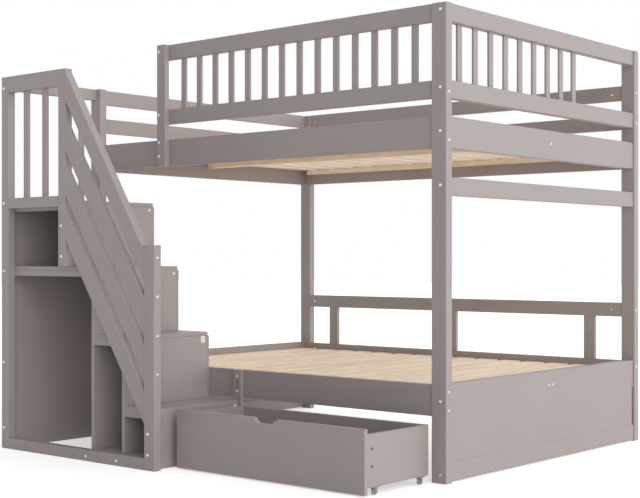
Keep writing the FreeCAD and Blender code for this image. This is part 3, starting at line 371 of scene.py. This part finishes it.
def bolt_places(name):
    """Each bolt's seat, the way its shank runs, its shank's length, and its head's radius and
    height."""
    found = []
    for low, high, corners in loose_boxes(name):
        size = high - low
        axis = max(range(3), key=lambda place: size[place])
        across = [place for place in range(3) if place != axis]
        middle = (low + high) / 2
        head = size[across[0]] / 2
        wide = [corner for corner in corners
                if max(abs(corner[place] - middle[place]) for place in across)
                > HEAD_SHARE * head]
        head_low = min(corner[axis] for corner in wide)
        head_high = max(corner[axis] for corner in wide)
        toward = 1 if head_low - low[axis] < high[axis] - head_high else -1
        seat = middle.copy()
        seat[axis] = head_high if toward > 0 else head_low
        direction = Vector((0, 0, 0))
        direction[axis] = toward
        found.append((seat, direction, size[axis] - (head_high - head_low), head,
                      head_high - head_low))
    return found


def bolt(sizes, seat, direction, length, head, high):
    """One bolt: shank with a chamfered tip, domed head and hexagon socket."""
    single = bmesh.new()
    socket = sizes.socket
    bottom = sizes.socket_deep - high
    dome = [(-share * high, head - inward) for share, inward in HEAD_DOME]
    turned(single, [(length, 0), (length, SHANK_TIP), (length - SHANK_CHAMFER, SHANK),
                    (0, SHANK), (0, head - HEAD_UNDER), *dome,
                    (-high, socket), (bottom, socket), (bottom, 0)], sizes.bolt_steps)
    # the socket's round wall is drawn in to six flats
    flat = socket * math.cos(math.pi / 6)
    for vert in single.verts:
        radius = math.hypot(vert.co.y, vert.co.z)
        if vert.co.x < 0 and 0.5 * socket < radius < 1.01 * socket:
            angle = math.atan2(vert.co.z, vert.co.y) % (math.pi / 3) - math.pi / 6
            reach = flat / math.cos(angle) / radius
            vert.co.y *= reach
            vert.co.z *= reach
    turn = Vector((1, 0, 0)).rotation_difference(direction).to_matrix().to_4x4()
    bmesh.ops.transform(single, matrix=Matrix.Translation(seat) @ turn, verts=single.verts)
    return single


def cover(sizes, low, high):
    """One screw cover: a rectangular one with soft edges, or a round dome."""
    single = bmesh.new()
    radius = (high.z - low.z) / 2
    tall = high.x - low.x
    middle = (low + high) / 2
    if high.y - low.y < ROUND_COVER * radius:
        bmesh.ops.create_cube(single, size=1.0, matrix=Matrix.Translation(middle)
                              @ Matrix.Diagonal((*(high - low), 1)))
        outer = [line for line in single.edges if min(v.co.x for v in line.verts) > middle.x]
        bmesh.ops.bevel(single, geom=outer, offset=COVER_EDGE * tall, offset_type="OFFSET",
                        segments=3, profile=0.5, affect="EDGES", material=-1)
    else:
        turned(single, [(up * tall, out * radius) for up, out in COVER_DOME],
               sizes.bolt_steps)
        bmesh.ops.translate(single, verts=single.verts, vec=(low.x, middle.y, middle.z))
    return single


class BunkFinish(bpy.types.PropertyGroup):
    """Colours and sizes of the bed's finishes."""

    paint: StringProperty(name="Paint", description="Grey paint, sRGB hex", default="#A49B99")
    paint_dark: StringProperty(name="Paint over late wood", description="sRGB hex",
                               default="#A19896")
    paint_light: StringProperty(name="Paint over early wood", description="sRGB hex",
                                default="#A79E9C")
    pine: StringProperty(name="Pine", description="Bare pine, sRGB hex", default="#F7E2CA")
    pine_late: StringProperty(name="Late wood", description="sRGB hex", default="#E8CCAA")
    pine_early: StringProperty(name="Early wood", description="sRGB hex", default="#F8EADA")
    pine_knot: StringProperty(name="Knot", description="sRGB hex", default="#B48E69")
    zinc: StringProperty(name="Zinc", description="Bright zinc, sRGB hex", default="#F2F2F0")
    zinc_dark: StringProperty(name="Zinc shade", description="sRGB hex", default="#DCDCDC")
    cap: StringProperty(name="Screw cap", description="sRGB hex", default="#ECE9E5")
    cap_shade: StringProperty(name="Screw cap shade", description="sRGB hex", default="#E2DFDA")
    wheel: StringProperty(name="Wheel", description="Nylon wheel, sRGB hex", default="#B0ADAA")
    wheel_shade: StringProperty(name="Wheel shade", description="sRGB hex", default="#A3A09D")
    bracket: StringProperty(name="Bracket", description="sRGB hex", default="#8E8A87")
    bracket_shade: StringProperty(name="Bracket shade", description="sRGB hex",
                                  default="#7C7876")
    streak_width: FloatProperty(name="Streak width", description="Grain streaks, in millimetres",
                                default=5.0, min=0.5)
    streak_length: FloatProperty(name="Streak length", description="Grain streaks, in millimetres",
                                 default=260.0, min=5.0)
    pore_width: FloatProperty(name="Pore width", description="Drawn coarser than the real 0.3 mm",
                              default=1.6, min=0.2)
    pore_length: FloatProperty(name="Pore length", description="In millimetres", default=60.0,
                               min=1.0)
    ring_width: FloatProperty(name="Ring width", description="Growth rings of pine, millimetres",
                              default=7.0, min=0.5)


class BunkSizes(bpy.types.PropertyGroup):
    """Sizes of the turned pieces and of the stage."""

    steps: IntProperty(name="Turning steps", description="Segments round a turned piece",
                       default=48, min=12)
    bolt_steps: IntProperty(name="Bolt steps", description="Segments round a bolt", default=24,
                            min=12)
    socket: FloatProperty(name="Hexagon socket", description="Across corners, halved",
                          default=2.6 * MM, unit="LENGTH")
    socket_deep: FloatProperty(name="Socket depth", description="Depth of the hexagon socket",
                               default=1.5 * MM, unit="LENGTH")
    tread_groove: FloatProperty(name="Wheel groove", description="Groove in the wheel's sides",
                                default=1.2 * MM, unit="LENGTH")
    floor: FloatProperty(name="Floor", description="Half the size of the floor", default=30.0,
                         unit="LENGTH")


class BUNK_OT_bed_timber(bpy.types.Operator):
    """Paints the bed frame, each board with its grain along its length"""

    bl_idname = "bunk.bed_timber"
    bl_label = "Bed timber"

    def execute(self, context):
        dress(LENGTHWAYS, painted_pine("painted pine, lengthways", X))
        dress(CROSSWAYS, painted_pine("painted pine, crossways", Y))
        dress(UPRIGHT, painted_pine("painted pine, upright", Z))
        return {"FINISHED"}


class BUNK_OT_slats(bpy.types.Operator):
    """Gives the slats and their bearers the look of bare pine"""

    bl_idname = "bunk.slats"
    bl_label = "Slats"

    def execute(self, context):
        dress(("upper_slats", "lower_slats"), bare_pine("bare pine, slats", Y))
        dress(("upper_slat_bearers", "lower_slat_bearers"), bare_pine("bare pine, bearers", X))
        return {"FINISHED"}


class BUNK_OT_stairs(bpy.types.Operator):
    """Paints the stairs, their guard and the cubbies"""

    bl_idname = "bunk.stairs"
    bl_label = "Stairs and cubbies"

    def execute(self, context):
        dress(STAIR_UPRIGHT + STAIR_PANELS, bpy.data.materials["painted pine, upright"])
        dress(STAIR_LENGTHWAYS, bpy.data.materials["painted pine, lengthways"])
        dress(STAIR_CROSSWAYS, bpy.data.materials["painted pine, crossways"])
        low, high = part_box("stair_handrail")
        lean = math.atan2(high.z - low.z - HANDRAIL_PLUMB, high.x - low.x)
        dress(SLANTED, painted_pine("painted pine, slanted", X, -lean))
        return {"FINISHED"}


class BUNK_OT_drawer(bpy.types.Operator):
    """Paints the drawer and turns its four wheels, with hub, grooved sides and rounded tread"""

    bl_idname = "bunk.drawer"
    bl_label = "Drawer"

    def execute(self, context):
        sizes = context.scene.bunk_sizes
        look = context.scene.bunk_finish
        dress(("drawer_front", "drawer_back", "drawer_floor"),
              bpy.data.materials["painted pine, lengthways"])
        dress(("drawer_sides",), bpy.data.materials["painted pine, crossways"])
        dress(("wheel_brackets",),
              moulded("sprayed steel", look.bracket, look.bracket_shade, roughness=0.45, grit=0.8))
        nylon = moulded("moulded nylon", look.wheel, look.wheel_shade, roughness=0.38, grit=0.6)
        for node, body in WHEELS.items():
            low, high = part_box(node)
            half = (high.x - low.x) / 2
            rim = (high.z - low.z) / 2
            web = half - sizes.tread_groove
            side = [(half, WHEEL_BORE), (half, WHEEL_HUB), (web, WHEEL_HUB + HUB_SLOPE),
                    (web, rim - GROOVE_RIM)]
            side += [(half - inward, rim - down) for inward, down in (SHOULDER, CORNER)]
            side.append((half - TREAD_ROUND, rim))
            outline = side + [(-along, radius) for along, radius in reversed(side)]
            shape = bmesh.new()
            turned(shape, outline + outline[:1], sizes.steps)
            bmesh.ops.translate(shape, verts=shape.verts, vec=(low + high) / 2)
            piece = finished(node + "_turned", shape, nylon, body)
            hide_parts(node)
        return {"FINISHED"}


class BUNK_OT_fasteners(bpy.types.Operator):
    """Makes the bolts with their domed, hexagon-socket heads, and the screw covers"""

    bl_idname = "bunk.fasteners"
    bl_label = "Bolts and caps"

    def execute(self, context):
        sizes = context.scene.bunk_sizes
        look = context.scene.bunk_finish
        zinc = zinc_plate("bright zinc on steel")
        dress(("barrel_nuts",), zinc)
        for node in ("bed_bolts", "stair_bolts"):
            shape = bmesh.new()
            for seat, direction, length, head, high in bolt_places(node):
                merged(shape, bolt(sizes, seat, direction, length, head, high))
            piece = finished(node + "_turned", shape, zinc, "bed")
            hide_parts(node)
        cap = moulded("moulded cap", look.cap, look.cap_shade, roughness=0.4, grit=0.7)
        shape = bmesh.new()
        for low, high, _ in loose_boxes("screw_caps"):
            merged(shape, cover(sizes, low, high))
        piece = finished("screw_caps_domed", shape, cap, "bed")
        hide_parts("screw_caps")
        return {"FINISHED"}


class BUNK_OT_stage(bpy.types.Operator):
    """Sets the floor, the soft light and the camera"""

    bl_idname = "bunk.stage"
    bl_label = "Stage"

    def execute(self, context):
        scene = context.scene
        sizes = scene.bunk_sizes
        scene.view_settings.view_transform = "Standard"
        shape = bmesh.new()
        bmesh.ops.create_grid(shape, x_segments=1, y_segments=1, size=sizes.floor)
        mesh = bpy.data.meshes.new("floor")
        shape.to_mesh(mesh)
        shape.free()
        ground = bpy.data.objects.new("floor", mesh)
        scene.collection.objects.link(ground)
        material = bpy.data.materials.new("pale floor")
        material.use_nodes = True
        tree = material.node_tree
        tree.nodes.clear()
        seen = add(tree, "ShaderNodeLightPath").outputs["Is Camera Ray"]
        matt = add(tree, "ShaderNodeBsdfDiffuse", Color=linear(FLOOR)).outputs["BSDF"]
        glow = add(tree, "ShaderNodeEmission", Color=linear(WHITE), Strength=FLOOR_GLOW)
        lift = add(tree, "ShaderNodeMixShader", _0=seen, _2=glow.outputs["Emission"])
        both = add(tree, "ShaderNodeAddShader", _0=matt, _1=lift.outputs["Shader"])
        add(tree, "ShaderNodeOutputMaterial", Surface=both.outputs["Shader"])
        mesh.materials.append(material)
        ground.visible_shadow = False

        world = bpy.data.worlds.new("studio")
        world.use_nodes = True
        scene.world = world
        tree = world.node_tree
        tree.nodes.clear()
        path = add(tree, "ShaderNodeLightPath")
        direct = add(tree, "ShaderNodeMath", {"operation": "MAXIMUM"},
                     _0=path.outputs["Is Camera Ray"], _1=path.outputs["Is Glossy Ray"])
        # the wall side of the room is the lighter one
        way = add(tree, "ShaderNodeTexCoord").outputs["Generated"]
        toward = add(tree, "ShaderNodeSeparateXYZ", Vector=way).outputs["Y"]
        level = add(tree, "ShaderNodeMapRange", Value=toward, From_Min=-1.0, From_Max=1.0,
                    To_Min=ROOM_DARK, To_Max=ROOM_LIGHT).outputs["Result"]
        fill = add(tree, "ShaderNodeBackground", Color=linear(WHITE), Strength=level)
        back = add(tree, "ShaderNodeBackground", Color=linear(WHITE), Strength=1.0)
        mixed = add(tree, "ShaderNodeMixShader", _0=direct.outputs[0],
                    _1=fill.outputs["Background"], _2=back.outputs["Background"])
        add(tree, "ShaderNodeOutputWorld", Surface=mixed.outputs["Shader"])

        for name, energy, spread, toward in LAMPS:
            sun = bpy.data.lights.new(name, "SUN")
            sun.energy = energy
            sun.angle = math.radians(spread)
            lamp = bpy.data.objects.new(name, sun)
            lamp.rotation_mode = "QUATERNION"
            lamp.rotation_quaternion = Vector(toward).to_track_quat("Z", "Y")
            scene.collection.objects.link(lamp)

        camera = bpy.data.cameras.new("photo view")
        camera.sensor_width = SENSOR
        camera.lens = LENS
        camera.shift_x, camera.shift_y = LENS_SHIFT
        camera.clip_end = FAR
        eye = bpy.data.objects.new("photo view", camera)
        eye.location = EYE
        eye.rotation_euler = (EYE_PITCH, 0, EYE_TURN)
        scene.collection.objects.link(eye)
        scene.camera = eye
        return {"FINISHED"}


class BUNK_PT_panel(bpy.types.Panel):
    """Lists the bed's groups of pieces"""

    bl_idname = "BUNK_PT_panel"
    bl_label = "Bunk bed"
    bl_space_type = "VIEW_3D"
    bl_region_type = "UI"
    bl_category = "Bunk bed"

    def draw(self, context):
        layout = self.layout
        for settings in (context.scene.bunk_finish, context.scene.bunk_sizes):
            for name in settings.__annotations__:
                layout.prop(settings, name)
        for step in STEPS:
            layout.operator(step.bl_idname)


STEPS = (BUNK_OT_bed_timber, BUNK_OT_slats, BUNK_OT_stairs, BUNK_OT_drawer, BUNK_OT_fasteners,
         BUNK_OT_stage)
CLASSES = (BunkFinish, BunkSizes) + STEPS + (BUNK_PT_panel,)


def register():
    """Registers the classes and hangs the settings on the scene."""
    for item in CLASSES:
        bpy.utils.register_class(item)
    bpy.types.Scene.bunk_finish = PointerProperty(type=BunkFinish)
    bpy.types.Scene.bunk_sizes = PointerProperty(type=BunkSizes)


def unregister():
    """Takes the settings and classes away again."""
    del bpy.types.Scene.bunk_sizes
    del bpy.types.Scene.bunk_finish
    for item in reversed(CLASSES):
        bpy.utils.unregister_class(item)


def main():
    """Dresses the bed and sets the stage."""
    register()
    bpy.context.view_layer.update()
    bpy.ops.bunk.bed_timber()
    bpy.ops.bunk.slats()
    bpy.ops.bunk.stairs()
    bpy.ops.bunk.drawer()
    bpy.ops.bunk.fasteners()
    bpy.ops.bunk.stage()


if __name__ == "__main__":
    main()
